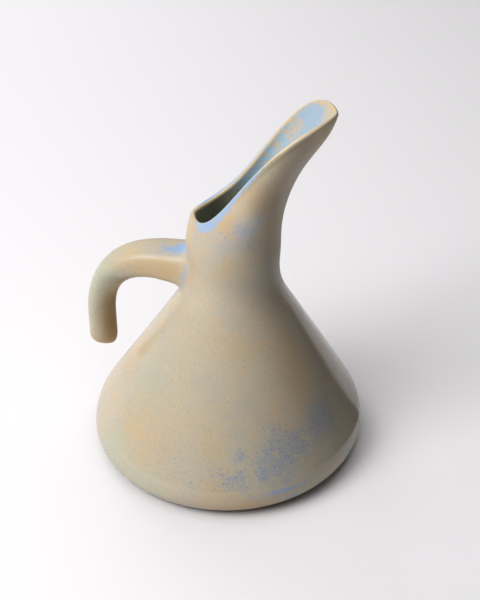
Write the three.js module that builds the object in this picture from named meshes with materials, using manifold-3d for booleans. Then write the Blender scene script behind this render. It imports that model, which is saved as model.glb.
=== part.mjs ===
// Ceramic wine pitcher: a low wide cone with a narrow neck, a beak spout and a hook handle.
// Millimetres, +Z up. The origin is the middle of the underside and +X points along the spout.
import * as THREE from 'three';
import { mergeVertices } from 'three/addons/utils/BufferGeometryUtils.js';
import Module from 'manifold-3d';

// Foot, belly and cone
const FOOT_RADIUS = 66;
const BELLY_RADIUS = 80;
const BELLY_HEIGHT = 11.4;
const SHOULDER_ROUND = 23;
const CONE_SLOPE = 30.2; // degrees that the wall leans in from upright
const CONE_TOP = 96;

// Neck: the collar on the cone, and how far forward its axis stands
const NECK_RADIUS = 26.5;
const COLLAR_HEIGHT = 42;
const WAIST_DIP = 1; // how much the waist is drawn in below the neck
const LEAN = 4.9;
const LEAN_END = 130; // height at which the leaning axis is upright again

// Clay thicknesses
const BASE_THICKNESS = 5.5;
const WALL = 5;
const RIM_THICKNESS = 3.2;
const TIP_THICKNESS = 2.2;

// Luted joints: the step on the base, the depth of a spigot, and the slip between two pieces
const BASE_STEP = 2;
const LAP_DEPTH = 3;
const SLIP = 0.3;

// Rim line in side view, measured from the collar's top and its axis
const MOUTH_BACK = 22.4;
const MOUTH_BACK_RISE = 16.5;
const MOUTH_BACK_RUN = 25; // how far the curve is aimed forward from the back
const TIP_REACH = 55.6;
const TIP_RISE = 88.8;
const TIP_RUN = 36.5; // how far the curve is aimed back from the tip
const TIP_DIP = 3.3; // and how much lower

// Rim line in plan: half widths of the mouth and of the beak, and where they lie
const MOUTH_HALF_WIDTH = 16.6;
const MOUTH_BACK_LENGTH = 16;
const BEAK_HALF_WIDTH = 22.4;
const BEAK_WIDEST = 31.6;
const FLARE_START = 3.1;
const END_FULLNESS = 0.75; // 0.5 gives an elliptical end, 1 a pointed one
const UPRIGHT_SHARE = 0.5; // share of the spout wall's rise that stays upright
const FRONT_GATHER = 2.2; // how closely the wall's upright lines gather towards the front
const CHIN_DEPTH = 3; // how far the beak's underside swells below its tip
const CHIN_START = 20;
const CHIN_GATHER = 4; // how close to the rim the swelling lies

// Handle: its centre line from the collar outwards, its section and its root
const HANDLE_BELOW_SPOUT = 18.9;
const HANDLE_ARM = 8.6;
const HANDLE_BEND_LENGTH = 45;
const HANDLE_BEND_DROP = 45;
const HANDLE_BEND_FULLNESS = 2.5; // 2 bends as an ellipse, more is squarer
const HANDLE_TAIL = 13.6;
const HANDLE_THICK_ROOT = 22.2;
const HANDLE_THICK_END = 16.2;
const HANDLE_WIDTH_ROOT = 27;
const HANDLE_WIDTH_END = 15.4;
const HANDLE_TAPER_SHARE = 0.7; // share of the length over which it tapers
const HANDLE_ROOT_SQUARENESS = 3.3; // of its section, where 2 is round
const HANDLE_END_SQUARENESS = 2.2;
const HANDLE_END_NARROWING = 0.32; // how much slimmer its inner side is there
const HANDLE_END_SKEW = 0.75; // 1 rounds the free end on its outer side alone, 0 on both
const ROOT_FLARE_TALL = 4.8;
const ROOT_FLARE_WIDE = 1.5;
const ROOT_FLARE_LENGTH = 24;
const ROOT_FLARE_DROP = 0.55; // 1 puts the whole upright flare under the handle, 0 shares it
const ROOT_BURY = 12; // how deep the uncut root reaches past the collar's outside

// Facets
const TURN_FACETS = 48;
const PROFILE_STEP = 8;
const FOOT_EDGE_STEPS = 4;
const RIM_SIDE_POINTS = 24;
const SPOUT_ROWS = 10;
const RIM_ARC_STEPS = 4;
const HANDLE_RINGS = 22;
const HANDLE_SIDES = 16;
const HANDLE_END_RINGS = 4;

// Places worked out from the sizes
const NECK_TOP = CONE_TOP + COLLAR_HEIGHT;
const NECK_AXIS_X = leanAt(NECK_TOP);
const MOUTH_BACK_X = NECK_AXIS_X - MOUTH_BACK;
const TIP_X = NECK_AXIS_X + TIP_REACH;
const HANDLE_Z = NECK_TOP - HANDLE_BELOW_SPOUT;
const HANDLE_ROOT_X = NECK_AXIS_X - NECK_RADIUS;

// Radius of the turned body at a height, taken inward by inset
function bodyRadius(z, inset = 0) {
  const slope = THREE.MathUtils.degToRad(CONE_SLOPE);
  if (z < BELLY_HEIGHT) {
    if (inset > 0) return BELLY_RADIUS - inset;
    const drop = 1 - z / BELLY_HEIGHT;
    return FOOT_RADIUS + (BELLY_RADIUS - FOOT_RADIUS) * Math.sqrt(1 - drop * drop);
  }
  const round = SHOULDER_ROUND - inset;
  const roundCentre = BELLY_RADIUS - SHOULDER_ROUND;
  const coneStart = BELLY_HEIGHT + round * Math.sin(slope);
  const cone = (height) => roundCentre + round * Math.cos(slope) - (height - coneStart) * Math.tan(slope);
  if (z < coneStart) return roundCentre + Math.sqrt(round * round - (z - BELLY_HEIGHT) ** 2);
  if (z <= CONE_TOP) return cone(z);
  // The waist runs from the cone's slope to an upright neck
  const rise = NECK_TOP - CONE_TOP;
  const t = Math.min((z - CONE_TOP) / rise, 1);
  const fromCone = (1 + 2 * t) * (1 - t) ** 2 * cone(CONE_TOP);
  const fromSlope = -t * (1 - t) ** 2 * rise * Math.tan(slope);
  const dip = 16 * WAIST_DIP * (t * (1 - t)) ** 2;
  return fromCone + fromSlope - dip + t * t * (3 - 2 * t) * (NECK_RADIUS - inset);
}

// How far forward the axis of the body stands at a height
function leanAt(z) {
  const part = Math.min(z / LEAN_END, 1);
  return LEAN * (1 - (1 - part) ** 2);
}

// Radius at which two luted pieces part, halfway through the wall
function lapRadius(z) {
  return (bodyRadius(z) + bodyRadius(z, WALL)) / 2;
}

// Profile points between two heights, at the body's radius less inset
function wallPoints(from, to, inset) {
  const steps = Math.max(2, Math.round(Math.abs(to - from) / PROFILE_STEP));
  const points = [];
  for (let i = 0; i <= steps; i++) {
    const z = THREE.MathUtils.lerp(from, to, i / steps);
    points.push(new THREE.Vector2(bodyRadius(z, inset), z));
  }
  return points;
}

// A profile of radius and height turned about the axis, then leaned with the body
function turn(profile) {
  const geometry = new THREE.LatheGeometry(profile, TURN_FACETS);
  geometry.rotateX(Math.PI / 2);
  const position = geometry.getAttribute('position');
  for (let i = 0; i < position.count; i++) {
    position.setX(i, position.getX(i) + leanAt(position.getZ(i)));
  }
  return geometry;
}

// Triangles between neighbouring rings of equal length, each ring closed on itself
function skin(rings, closesOnItself) {
  const sides = rings[0].length;
  const indices = [];
  const last = closesOnItself ? rings.length : rings.length - 1;
  for (let j = 0; j < last; j++) {
    const low = j * sides;
    const high = ((j + 1) % rings.length) * sides;
    for (let k = 0; k < sides; k++) {
      const next = (k + 1) % sides;
      indices.push(low + k, low + next, high + k);
      indices.push(low + next, high + next, high + k);
    }
  }
  return indices;
}

function geometryFrom(points, indices) {
  const geometry = new THREE.BufferGeometry().setFromPoints(points);
  geometry.setIndex(indices);
  geometry.computeVertexNormals();
  return geometry;
}

// Base: a disc with the rounded foot edge, a ledge for the wall and a step inside it
function baseSlab() {
  const stepRadius = bodyRadius(BASE_THICKNESS, WALL) - SLIP;
  const floorHeight = BASE_THICKNESS + BASE_STEP;
  const profile = [new THREE.Vector2(0, 0)];
  for (let i = 0; i <= FOOT_EDGE_STEPS; i++) {
    const z = BASE_THICKNESS * (i / FOOT_EDGE_STEPS) ** 2;
    profile.push(new THREE.Vector2(bodyRadius(z), z));
  }
  profile.push(new THREE.Vector2(stepRadius, BASE_THICKNESS));
  profile.push(new THREE.Vector2(stepRadius, floorHeight));
  profile.push(new THREE.Vector2(0, floorHeight));
  return turn(profile);
}

// The lower piece of a lap joint at height z: the top edge with a rebate on its inside
function rebate(z) {
  const lap = lapRadius(z) + SLIP / 2;
  return [new THREE.Vector2(lap, z), new THREE.Vector2(lap, z - LAP_DEPTH)];
}

// The upper piece of a lap joint at height z: the spigot that drops into the rebate
function spigot(z) {
  const lap = lapRadius(z) - SLIP / 2;
  const bottom = z - LAP_DEPTH + SLIP;
  return [new THREE.Vector2(lap, bottom), new THREE.Vector2(lap, z)];
}

// Body: the belly and the cone, standing on the base
function bodyCone() {
  const belly = wallPoints(BASE_THICKNESS, BELLY_HEIGHT, 0);
  const shoulder = BELLY_HEIGHT + SHOULDER_ROUND * Math.sin(THREE.MathUtils.degToRad(CONE_SLOPE));
  const outside = [
    ...belly,
    ...wallPoints(BELLY_HEIGHT, shoulder, 0).slice(1),
    new THREE.Vector2(bodyRadius(CONE_TOP), CONE_TOP),
  ];
  const inside = [
    new THREE.Vector2(bodyRadius(CONE_TOP - LAP_DEPTH, WALL), CONE_TOP - LAP_DEPTH),
    ...wallPoints(shoulder, BELLY_HEIGHT, WALL),
    new THREE.Vector2(bodyRadius(BASE_THICKNESS, WALL), BASE_THICKNESS),
  ];
  return turn([...outside, ...rebate(CONE_TOP), ...inside, outside[0]]);
}

// Collar: the waist between the cone and the spout
function neckCollar() {
  const outside = wallPoints(CONE_TOP, NECK_TOP, 0);
  const inside = wallPoints(NECK_TOP - LAP_DEPTH, CONE_TOP - LAP_DEPTH + SLIP, WALL);
  return turn([...outside, ...rebate(NECK_TOP), ...inside, ...spigot(CONE_TOP), outside[0]]);
}

// Half of the rim's top line, from the back of the mouth (0) to the tip of the beak (1)
class RimLine extends THREE.Curve {
  constructor() {
    super();
    const backZ = NECK_TOP + MOUTH_BACK_RISE;
    const tipZ = NECK_TOP + TIP_RISE;
    this.side = new THREE.CubicBezierCurve(
      new THREE.Vector2(MOUTH_BACK_X, backZ),
      new THREE.Vector2(MOUTH_BACK_X + MOUTH_BACK_RUN, backZ),
      new THREE.Vector2(TIP_X - TIP_RUN, tipZ - TIP_DIP),
      new THREE.Vector2(TIP_X, tipZ),
    );
  }

  halfWidth(x) {
    const round = (far) => Math.max(0, 1 - far * far) ** END_FULLNESS;
    const forward = x - NECK_AXIS_X;
    if (forward > BEAK_WIDEST) {
      return BEAK_HALF_WIDTH * round((forward - BEAK_WIDEST) / (TIP_REACH - BEAK_WIDEST));
    }
    const flare = THREE.MathUtils.smoothstep(forward, FLARE_START, BEAK_WIDEST);
    const width = THREE.MathUtils.lerp(MOUTH_HALF_WIDTH, BEAK_HALF_WIDTH, flare);
    const fromBack = Math.min((x - MOUTH_BACK_X) / MOUTH_BACK_LENGTH, 1);
    return width * round(1 - fromBack);
  }

  getPoint(t) {
    const side = this.side.getPoint(t);
    return new THREE.Vector3(side.x, this.halfWidth(side.x), side.y);
  }
}

// The rim's top line as a closed ring that starts at the tip and runs anticlockwise
function rimRing() {
  const half = new RimLine().getSpacedPoints(RIM_SIDE_POINTS).reverse();
  const mirrored = half.slice(1, -1).reverse().map((p) => new THREE.Vector3(p.x, -p.y, p.z));
  return [...half, ...mirrored];
}

// Where the wall under each rim point starts, on the middle of the collar's wall
function spoutFoot(rim) {
  const radius = NECK_RADIUS - WALL / 2;
  return rim.map((point) => {
    const toTip = (TIP_X - point.x) / (TIP_X - MOUTH_BACK_X);
    const forward = 1 - 2 * toTip ** FRONT_GATHER;
    const sideways = Math.sign(point.y) * Math.sqrt(Math.max(0, 1 - forward * forward));
    return new THREE.Vector3(NECK_AXIS_X + radius * forward, radius * sideways, NECK_TOP);
  });
}

// The same ring of points about the axis, at another radius and height
function resized(ring, radius, z) {
  const from = new THREE.Vector3(NECK_AXIS_X, 0, NECK_TOP);
  const to = new THREE.Vector3(leanAt(z), 0, z);
  return ring.map((p) => p.clone().sub(from).setLength(radius).add(to));
}

// The step between the neighbours of a ring's point
function around(ring, k) {
  return ring[(k + 1) % ring.length].clone().sub(ring[(k + ring.length - 1) % ring.length]).normalize();
}

// How near a point of the rim is to the tip of the beak: 0 behind the given distance, 1 at the tip
function nearTip(point, start) {
  return THREE.MathUtils.smoothstep(point.x - NECK_AXIS_X, start, TIP_REACH);
}

// The middle of the spout's wall: rows of points from the collar's top to just under the rim
function spoutMiddle(rim, edgeRadius) {
  const foot = spoutFoot(rim);
  const lines = rim.map((top, k) => {
    const bend = foot[k].clone().setZ(THREE.MathUtils.lerp(NECK_TOP, top.z, UPRIGHT_SHARE));
    const side = around(rim, k);
    const upward = top.clone().sub(bend);
    upward.addScaledVector(side, -upward.dot(side)).normalize();
    const end = top.clone().addScaledVector(upward, -edgeRadius[k]);
    return new THREE.QuadraticBezierCurve3(foot[k], bend, end);
  });
  const rows = [];
  for (let j = 0; j <= SPOUT_ROWS; j++) {
    const s = j / SPOUT_ROWS;
    const chin = CHIN_DEPTH * Math.sin(Math.PI * s ** CHIN_GATHER);
    const row = lines.map((line) => line.getPoint(s));
    rows.push(row.map((p, k) => {
      const outward = around(row, k).cross(lines[k].getTangent(s)).normalize();
      return p.clone().addScaledVector(outward, chin * nearTip(rim[k], CHIN_START));
    }));
  }
  return rows;
}

// The way up the wall at a row, square to the row itself
function climb(rows, j, k) {
  if (j === 0) return new THREE.Vector3(0, 0, 1);
  const step = rows[Math.min(j + 1, rows.length - 1)][k].clone().sub(rows[j - 1][k]);
  const side = around(rows[j], k);
  return step.addScaledVector(side, -step.dot(side)).normalize();
}

// Spout: a wall lofted from the collar's round top to the rim line, with a rounded edge
function beakSpout() {
  const rim = rimRing();
  const thinning = rim.map((p) => nearTip(p, BEAK_WIDEST));
  const thickness = thinning.map((t) => THREE.MathUtils.lerp(RIM_THICKNESS, TIP_THICKNESS, t));
  const edgeRadius = thickness.map((value) => value / 2);
  const middle = spoutMiddle(rim, edgeRadius);
  const outer = [];
  const inner = [];
  const edge = [];
  for (let j = 0; j <= SPOUT_ROWS; j++) {
    const up = middle[j].map((_, k) => climb(middle, j, k));
    const outward = up.map((direction, k) => around(middle[j], k).cross(direction).normalize());
    const half = thickness.map((value) => THREE.MathUtils.lerp(WALL, value, j / SPOUT_ROWS) / 2);
    outer.push(middle[j].map((p, k) => p.clone().addScaledVector(outward[k], half[k])));
    inner.unshift(middle[j].map((p, k) => p.clone().addScaledVector(outward[k], -half[k])));
    if (j < SPOUT_ROWS) continue;
    for (let i = 1; i < RIM_ARC_STEPS; i++) {
      const angle = (Math.PI * i) / RIM_ARC_STEPS;
      edge.push(middle[j].map((p, k) => p.clone()
        .addScaledVector(outward[k], edgeRadius[k] * Math.cos(angle))
        .addScaledVector(up[k], edgeRadius[k] * Math.sin(angle))));
    }
  }
  const foot = middle[0];
  const [tongue, shoulder] = spigot(NECK_TOP);
  const joint = [
    resized(foot, NECK_RADIUS - WALL, tongue.y),
    resized(foot, tongue.x, tongue.y),
    resized(foot, shoulder.x, shoulder.y),
  ];
  const rings = [...outer, ...edge, ...inner, ...joint];
  return geometryFrom(rings.flat(), skin(rings, true));
}

// The bend of the handle's centre line, from level to straight down
class HandleBend extends THREE.Curve {
  getPoint(t) {
    const angle = (t * Math.PI) / 2;
    const power = 2 / HANDLE_BEND_FULLNESS;
    return new THREE.Vector3(
      HANDLE_ROOT_X - HANDLE_ARM - HANDLE_BEND_LENGTH * Math.sin(angle) ** power,
      0,
      HANDLE_Z - HANDLE_BEND_DROP * (1 - Math.max(0, Math.cos(angle)) ** power),
    );
  }
}

// Centre line of the handle: straight out of the collar, round the bend, straight down
function handleLine() {
  const bend = new HandleBend();
  const root = new THREE.Vector3(HANDLE_ROOT_X + ROOT_BURY, 0, HANDLE_Z);
  const end = bend.getPoint(1);
  end.z -= HANDLE_TAIL;
  const line = new THREE.CurvePath();
  line.add(new THREE.LineCurve3(root, bend.getPoint(0)));
  line.add(bend);
  line.add(new THREE.LineCurve3(bend.getPoint(1), end));
  return line;
}

// One ring of the handle about a point of its centre line: squarish at the root, taper 0, and an egg
// at the free end, taper 1
function handleRing(centre, tangent, halfThick, halfWidth, taper) {
  const across = new THREE.Vector3(0, 1, 0);
  const over = new THREE.Vector3().crossVectors(across, tangent);
  const power = 2 / THREE.MathUtils.lerp(HANDLE_ROOT_SQUARENESS, HANDLE_END_SQUARENESS, taper);
  const rounded = (value) => Math.sign(value) * Math.abs(value) ** power;
  const ring = [];
  for (let k = 0; k < HANDLE_SIDES; k++) {
    const angle = (2 * Math.PI * (k + 0.5)) / HANDLE_SIDES;
    const out = rounded(Math.cos(angle));
    const side = rounded(Math.sin(angle)) * (1 + HANDLE_END_NARROWING * taper ** 2 * out);
    ring.push(centre.clone()
      .addScaledVector(over, halfThick * out)
      .addScaledVector(across, halfWidth * side));
  }
  return ring;
}

// The handle before its root is cut: a swept bar with a flared root and a rounded free end
function handleBar() {
  const line = handleLine();
  const length = line.getLength();
  const rings = [];
  for (let i = 0; i <= HANDLE_RINGS; i++) {
    const t = i / HANDLE_RINGS;
    const fromNeck = t * length - ROOT_BURY;
    const near = THREE.MathUtils.clamp(1 - fromNeck / ROOT_FLARE_LENGTH, 0, 1);
    const taper = Math.min(t / HANDLE_TAPER_SHARE, 1);
    const tall = ROOT_FLARE_TALL * near * near;
    const wide = ROOT_FLARE_WIDE * near * near;
    const thick = THREE.MathUtils.lerp(HANDLE_THICK_ROOT, HANDLE_THICK_END, taper) / 2 + tall;
    const width = THREE.MathUtils.lerp(HANDLE_WIDTH_ROOT, HANDLE_WIDTH_END, taper) / 2 + wide;
    const centre = line.getPointAt(t);
    centre.z -= ROOT_FLARE_DROP * tall;
    rings.push(handleRing(centre, line.getTangentAt(t), thick, width, taper));
  }
  const end = line.getPointAt(1);
  const down = new THREE.Vector3(0, 0, -1);
  const inward = new THREE.Vector3(1, 0, 0);
  const endPoint = (angle) => end.clone()
    .addScaledVector(down, (HANDLE_THICK_END / 2) * Math.sin(angle))
    .addScaledVector(inward, HANDLE_END_SKEW * (HANDLE_THICK_END / 2) * (1 - Math.cos(angle)));
  for (let i = 1; i < HANDLE_END_RINGS; i++) {
    const angle = (Math.PI / 2) * (i / HANDLE_END_RINGS);
    const thick = (HANDLE_THICK_END / 2) * Math.cos(angle);
    const width = (HANDLE_WIDTH_END / 2) * Math.cos(angle);
    rings.push(handleRing(endPoint(angle), down, thick, width, 1));
  }
  const points = rings.flat();
  const indices = skin(rings, false);
  const rootCentre = line.getPointAt(0);
  rootCentre.z -= ROOT_FLARE_DROP * ROOT_FLARE_TALL;
  const root = points.push(rootCentre) - 1;
  const tip = points.push(endPoint(Math.PI / 2)) - 1;
  const lastRing = (rings.length - 1) * HANDLE_SIDES;
  for (let k = 0; k < HANDLE_SIDES; k++) {
    const next = (k + 1) % HANDLE_SIDES;
    indices.push(root, next, k);
    indices.push(tip, lastRing + k, lastRing + next);
  }
  return geometryFrom(points, indices);
}

// The outside of the body as a solid, grown by the slip, for cutting the handle's saddle
function bodyCore() {
  const top = NECK_TOP + MOUTH_BACK_RISE;
  const wall = [
    ...wallPoints(BELLY_HEIGHT, CONE_TOP, 0),
    ...wallPoints(CONE_TOP, NECK_TOP, 0).slice(1),
    new THREE.Vector2(NECK_RADIUS, top),
  ];
  const grown = wall.map((p) => new THREE.Vector2(p.x + SLIP, p.y));
  return turn([new THREE.Vector2(0, BELLY_HEIGHT), ...grown, new THREE.Vector2(0, top)]);
}

const wasm = await Module();
wasm.setup();

function toSolid(geometry) {
  const bare = geometry.clone();
  bare.deleteAttribute('normal');
  bare.deleteAttribute('uv');
  const merged = mergeVertices(bare);
  return new wasm.Manifold(new wasm.Mesh({
    numProp: 3,
    vertProperties: new Float32Array(merged.getAttribute('position').array),
    triVerts: new Uint32Array(merged.getIndex().array),
  }));
}

function toGeometry(solid) {
  const { vertProperties, triVerts } = solid.getMesh();
  const geometry = new THREE.BufferGeometry();
  geometry.setAttribute('position', new THREE.BufferAttribute(vertProperties, 3));
  geometry.setIndex(new THREE.BufferAttribute(triVerts, 1));
  geometry.computeVertexNormals();
  return geometry;
}

// Handle: the bar with its root hollowed to sit on the collar
function hookHandle() {
  return toGeometry(toSolid(handleBar()).subtract(toSolid(bodyCore())));
}

const pitcher = new THREE.Group();

function add(name, geometry, color, roughness) {
  const material = new THREE.MeshStandardMaterial({ color, roughness, metalness: 0 });
  const mesh = new THREE.Mesh(geometry, material);
  mesh.name = name;
  pitcher.add(mesh);
}

add('base_slab', baseSlab(), '#b79c78', 0.85);
add('body_cone', bodyCone(), '#c0ab86', 0.4);
add('neck_collar', neckCollar(), '#bba888', 0.4);
add('beak_spout', beakSpout(), '#b5b3ac', 0.35);
add('hook_handle', hookHandle(), '#bda985', 0.4);

export default pitcher;
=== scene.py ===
# %% [markdown]
# A stoneware wine pitcher
#
# The pitcher is hand built from five pieces of clay: a base slab, a wide cone, a neck collar, a beak
# spout and a hook handle. They are luted together with slip and then share one satin glaze, so no
# seam shows. The frame holds the same five pieces as plain solids. Here each one is modelled again
# with a smooth skin, from the same sizes, and then glazed.

import math

import bpy
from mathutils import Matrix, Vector


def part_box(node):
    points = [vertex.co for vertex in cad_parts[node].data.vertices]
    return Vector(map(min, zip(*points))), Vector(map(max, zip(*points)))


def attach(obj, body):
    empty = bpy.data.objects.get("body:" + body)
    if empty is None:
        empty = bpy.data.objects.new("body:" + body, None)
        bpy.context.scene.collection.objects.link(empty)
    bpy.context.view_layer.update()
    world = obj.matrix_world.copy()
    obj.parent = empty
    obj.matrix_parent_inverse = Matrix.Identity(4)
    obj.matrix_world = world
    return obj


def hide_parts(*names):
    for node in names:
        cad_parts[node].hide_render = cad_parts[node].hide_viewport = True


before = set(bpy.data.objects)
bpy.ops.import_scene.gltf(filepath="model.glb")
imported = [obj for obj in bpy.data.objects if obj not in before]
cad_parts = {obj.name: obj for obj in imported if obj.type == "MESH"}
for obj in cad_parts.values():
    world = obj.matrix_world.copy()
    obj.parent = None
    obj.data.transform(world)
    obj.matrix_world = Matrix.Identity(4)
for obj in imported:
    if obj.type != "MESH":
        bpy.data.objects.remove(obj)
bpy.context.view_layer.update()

# %% [markdown]
# The camera
#
# The picture was taken from above, looking 37 degrees down onto the pitcher with a long lens. From some
# way off, a long lens keeps near and far parts at nearly one scale. A short lens close by would swell
# the beak, which is nearest to the camera. The camera looks at a target point inside the cone, near its
# far wall, and stands back from that point along one line.

# %% Camera
MM = 0.001
CAMERA_TARGET = Vector((-3.17, 46.94, 60.84)) * MM
CAMERA_DISTANCE = 900 * MM
CAMERA_AZIMUTH = math.radians(14)
CAMERA_ELEVATION = math.radians(37.28)
CAMERA_ROLL = math.radians(-0.27)
CAMERA_LENS = 88.2
CAMERA_SENSOR = 36  # millimetres, along the picture's height


def toward(azimuth, elevation):
    """The direction from the pitcher to a place round it: azimuth 0 is in front, 90 on the spout's side."""
    level = math.cos(elevation)
    return Vector((math.sin(azimuth) * level, -math.cos(azimuth) * level, math.sin(elevation)))


camera_back = toward(CAMERA_AZIMUTH, CAMERA_ELEVATION)
bpy.ops.object.select_all(action="DESELECT")
bpy.ops.object.camera_add(location=CAMERA_TARGET + camera_back * CAMERA_DISTANCE)
camera = bpy.context.object
camera.rotation_euler = (-camera_back).to_track_quat("-Z", "Y").to_euler()
camera.rotation_euler.rotate_axis("Z", CAMERA_ROLL)
camera.data.lens = CAMERA_LENS
camera.data.sensor_width = CAMERA_SENSOR
bpy.context.scene.camera = camera
print("camera at", [round(v, 3) for v in camera.location])

# %% [markdown]
# The sizes of the body
#
# A thrown or coiled body is round at every height, so one rule for its radius describes it: a rounded
# foot edge, a soft shoulder, a straight cone and a waist that turns upright into the neck. The body
# also leans a little towards the spout. The heights where pieces meet come from the frame.

# %% Sizes of the body
FOOT_RADIUS = 66 * MM
SKIN_INSET = 0.06 * MM  # keeps the finer curve inside the box of the plain solids
BELLY_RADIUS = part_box("body_cone")[1].y - SKIN_INSET
BELLY_HEIGHT = 11.4 * MM
SHOULDER_ROUND = 23 * MM
CONE_SLOPE = math.radians(30.2)
NECK_RADIUS = 26.5 * MM
WAIST_DIP = 1 * MM
LEAN = 4.9 * MM
LEAN_END = 130 * MM
WALL = 5 * MM
LAP_DEPTH = 3 * MM
BASE_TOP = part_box("body_cone")[0].z
BASE_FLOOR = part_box("base_slab")[1].z
CONE_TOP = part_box("body_cone")[1].z
NECK_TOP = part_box("neck_collar")[1].z
CONE_START = BELLY_HEIGHT + SHOULDER_ROUND * math.sin(CONE_SLOPE)
print("wall from", round(BASE_TOP / MM, 1), "to", round(NECK_TOP / MM, 1), "mm above the table")

# %% The body's radius and lean
def body_radius(z, inset=0.0):
    """Radius of the body at a height, taken inward by inset."""
    if z < BELLY_HEIGHT:
        if inset > 0:
            return BELLY_RADIUS - inset
        drop = 1 - z / BELLY_HEIGHT
        return FOOT_RADIUS + (BELLY_RADIUS - FOOT_RADIUS) * math.sqrt(max(0.0, 1 - drop * drop))
    arc = SHOULDER_ROUND - inset
    arc_centre = BELLY_RADIUS - SHOULDER_ROUND
    cone_start = BELLY_HEIGHT + arc * math.sin(CONE_SLOPE)
    if z < cone_start:
        return arc_centre + math.sqrt(arc * arc - (z - BELLY_HEIGHT) ** 2)
    low = min(z, CONE_TOP)
    cone = arc_centre + arc * math.cos(CONE_SLOPE) - (low - cone_start) * math.tan(CONE_SLOPE)
    if z <= CONE_TOP:
        return cone
    # The waist runs on from the cone's slope to the upright neck. It is drawn in by the dip, which a
    # factor of 16 makes WAIST_DIP deep halfway up
    rise = NECK_TOP - CONE_TOP
    t = min((z - CONE_TOP) / rise, 1)
    waist = (1 + 2 * t) * (1 - t) ** 2 * cone - t * (1 - t) ** 2 * rise * math.tan(CONE_SLOPE)
    dip = 16 * WAIST_DIP * (t * (1 - t)) ** 2
    return waist - dip + t * t * (3 - 2 * t) * (NECK_RADIUS - inset)


def lean_at(z):
    """How far the body's axis stands towards the spout at a height."""
    part = min(z / LEAN_END, 1)
    return LEAN * (1 - (1 - part) ** 2)


def lap_radius(z):
    """Where two luted pieces part, halfway through the wall."""
    return (body_radius(z) + body_radius(z, WALL)) / 2


NECK_AXIS = lean_at(NECK_TOP)
print("body radius at the foot, belly and neck:", FOOT_RADIUS, BELLY_RADIUS, NECK_RADIUS)

# %% [markdown]
# Turning a wall ring by ring
#
# A potter raises a wall one ring at a time, and the same works here. A circle is added at the first
# ring, then extruded to the next height, shifted with the lean and scaled to the next radius. It runs
# up the outside, over the edge and down the inside. A closed wall is bridged from its last ring to its
# first, and a disc is drawn together at its two ends. Spin would be quicker, but it can't follow a
# leaning axis.

# %% Mesh helpers
SMOOTH_ANGLE = math.radians(38)
MERGE_GAP = 0.001 * MM


def finish_mesh(piece):
    """Merges doubles, turns the faces outwards and smooths all but the sharp edges."""
    bpy.ops.mesh.select_all(action="SELECT")
    bpy.ops.mesh.remove_doubles(threshold=MERGE_GAP)
    bpy.ops.mesh.normals_make_consistent(inside=False)
    bpy.ops.object.mode_set(mode="OBJECT")
    bpy.ops.object.shade_smooth_by_angle(angle=SMOOTH_ANGLE)
    size = [round(v / MM, 1) for v in piece.dimensions]
    print(piece.name, len(piece.data.polygons), "faces,", size, "mm")


def draw_together(piece, first, last):
    """Merges the ring of vertices from first to last into one point."""
    bpy.ops.object.mode_set(mode="OBJECT")
    for vertex in piece.data.vertices:
        vertex.select = first <= vertex.index < last
    bpy.ops.object.mode_set(mode="EDIT")
    bpy.ops.mesh.merge(type="CENTER")


def bridge_open_ends():
    """Joins the two open rings of a tube, which makes a closed wall."""
    bpy.ops.mesh.select_all(action="DESELECT")
    bpy.ops.mesh.select_non_manifold()
    bpy.ops.mesh.bridge_edge_loops()


print("edges of more than", round(math.degrees(SMOOTH_ANGLE)), "degrees stay sharp")

# %% Ring by ring
TURN_POINTS = 192
POLE_RADIUS = 0.4 * MM


def turned_piece(name, profile, is_disc=False):
    """A wall turned about the leaning axis through the profile's points of radius and height."""
    radius, z = profile[0]
    bpy.ops.object.select_all(action="DESELECT")
    bpy.ops.mesh.primitive_circle_add(vertices=TURN_POINTS, radius=radius, location=(lean_at(z), 0, z))
    bpy.ops.object.transform_apply(location=True, rotation=True, scale=True)
    piece = bpy.context.object
    piece.name = name
    bpy.ops.object.mode_set(mode="EDIT")
    bpy.ops.mesh.select_all(action="SELECT")
    for new_radius, new_z in profile[1:]:
        step = (lean_at(new_z) - lean_at(z), 0, new_z - z)
        bpy.ops.mesh.extrude_region_move(TRANSFORM_OT_translate={"value": step})
        share = new_radius / radius
        bpy.ops.transform.resize(value=(share, share, 1), center_override=(lean_at(new_z), 0, new_z))
        radius, z = new_radius, new_z
    if is_disc:
        last = len(profile) * TURN_POINTS
        draw_together(piece, last - TURN_POINTS, last)
        draw_together(piece, 0, TURN_POINTS)
    else:
        bridge_open_ends()
    finish_mesh(piece)
    return piece


def heights(start, end, step):
    """Heights from start to end in equal steps of about the given length."""
    count = max(1, round(abs(end - start) / step))
    return [start + (end - start) * i / count for i in range(count + 1)]


def wall(start, end, step, inset=0.0):
    """Points of the body's wall between two heights."""
    return [(body_radius(z, inset), z) for z in heights(start, end, step)]


print("rings of", TURN_POINTS, "points")

# %% [markdown]
# Base slab
#
# The base is a rolled disc of clay with a rounded edge. The wall stands on a ledge near its rim, and a
# low step inside keeps the wall from slipping. The edge is part of an ellipse that leaves the table
# almost flat, so its rings lie closer together in height down there.

# %% Base slab
FOOT_EDGE_RINGS = 12
UNDERSIDE_SHARES = (0.35, 0.7)

step_radius = body_radius(BASE_TOP, WALL)
base_profile = [(POLE_RADIUS, 0.0)]
base_profile += [(FOOT_RADIUS * share, 0.0) for share in UNDERSIDE_SHARES]
for i in range(FOOT_EDGE_RINGS + 1):
    edge_z = BASE_TOP * (i / FOOT_EDGE_RINGS) ** 2
    base_profile.append((body_radius(edge_z), edge_z))
base_profile += [(step_radius, BASE_TOP), (step_radius, BASE_FLOOR)]
base_profile += [(step_radius / 2, BASE_FLOOR), (POLE_RADIUS, BASE_FLOOR)]
base_slab = turned_piece("base_slab_glazed", base_profile, is_disc=True)

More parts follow.
